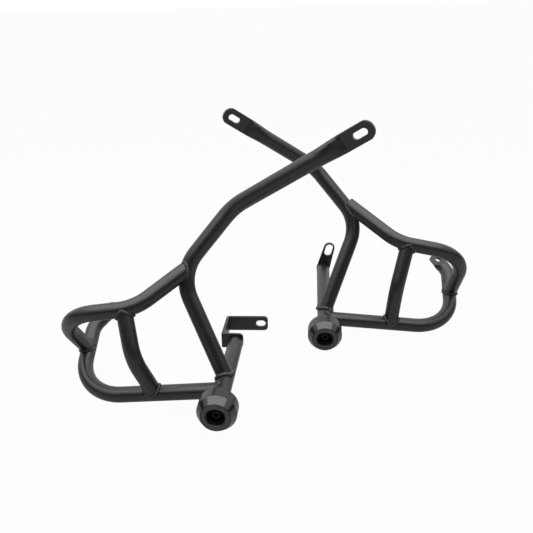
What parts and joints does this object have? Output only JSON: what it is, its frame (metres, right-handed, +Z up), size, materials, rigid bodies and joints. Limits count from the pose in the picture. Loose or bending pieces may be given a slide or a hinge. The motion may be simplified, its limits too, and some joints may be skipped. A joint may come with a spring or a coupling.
{
  "type": "motorcycle crash bars",
  "caption": "Left and right tubular steel engine guards for a motorcycle, with bent hoops, braces, pressed slotted ends and round moulded sliders.",
  "frame": {"origin": "middle of the pair's overall box, at the height that it rests on", "axes": "+X towards the right bar, +Y inwards along the cross tubes and away from the sliders, +Z up"},
  "size_m": [0.6192, 0.4593, 0.3776],
  "materials": {
    "coated_steel": "matte black powder coat",
    "slider_plastic": "satin moulded black",
    "bare_steel": "black oxide"
  },
  "bodies": {
    "root": {"left_arm_tube": "coated_steel", "left_upper_hoop": "coated_steel", "left_lower_hoop": "coated_steel", "left_brace_strut": "coated_steel", "left_cross_tube": "coated_steel", "left_slider_plug": "bare_steel", "left_slider_puck": "slider_plastic", "left_slider_washer": "bare_steel", "left_slider_bolt": "bare_steel", "right_arm_tube": "coated_steel", "right_upper_hoop": "coated_steel", "right_lower_hoop": "coated_steel", "right_brace_strut": "coated_steel", "right_cross_tube": "coated_steel", "right_slider_plug": "bare_steel", "right_slider_puck": "slider_plastic", "right_slider_washer": "bare_steel", "right_slider_bolt": "bare_steel", "left_mounting_bracket": "coated_steel", "right_mounting_tab": "coated_steel"}
  },
  "joints": []
}
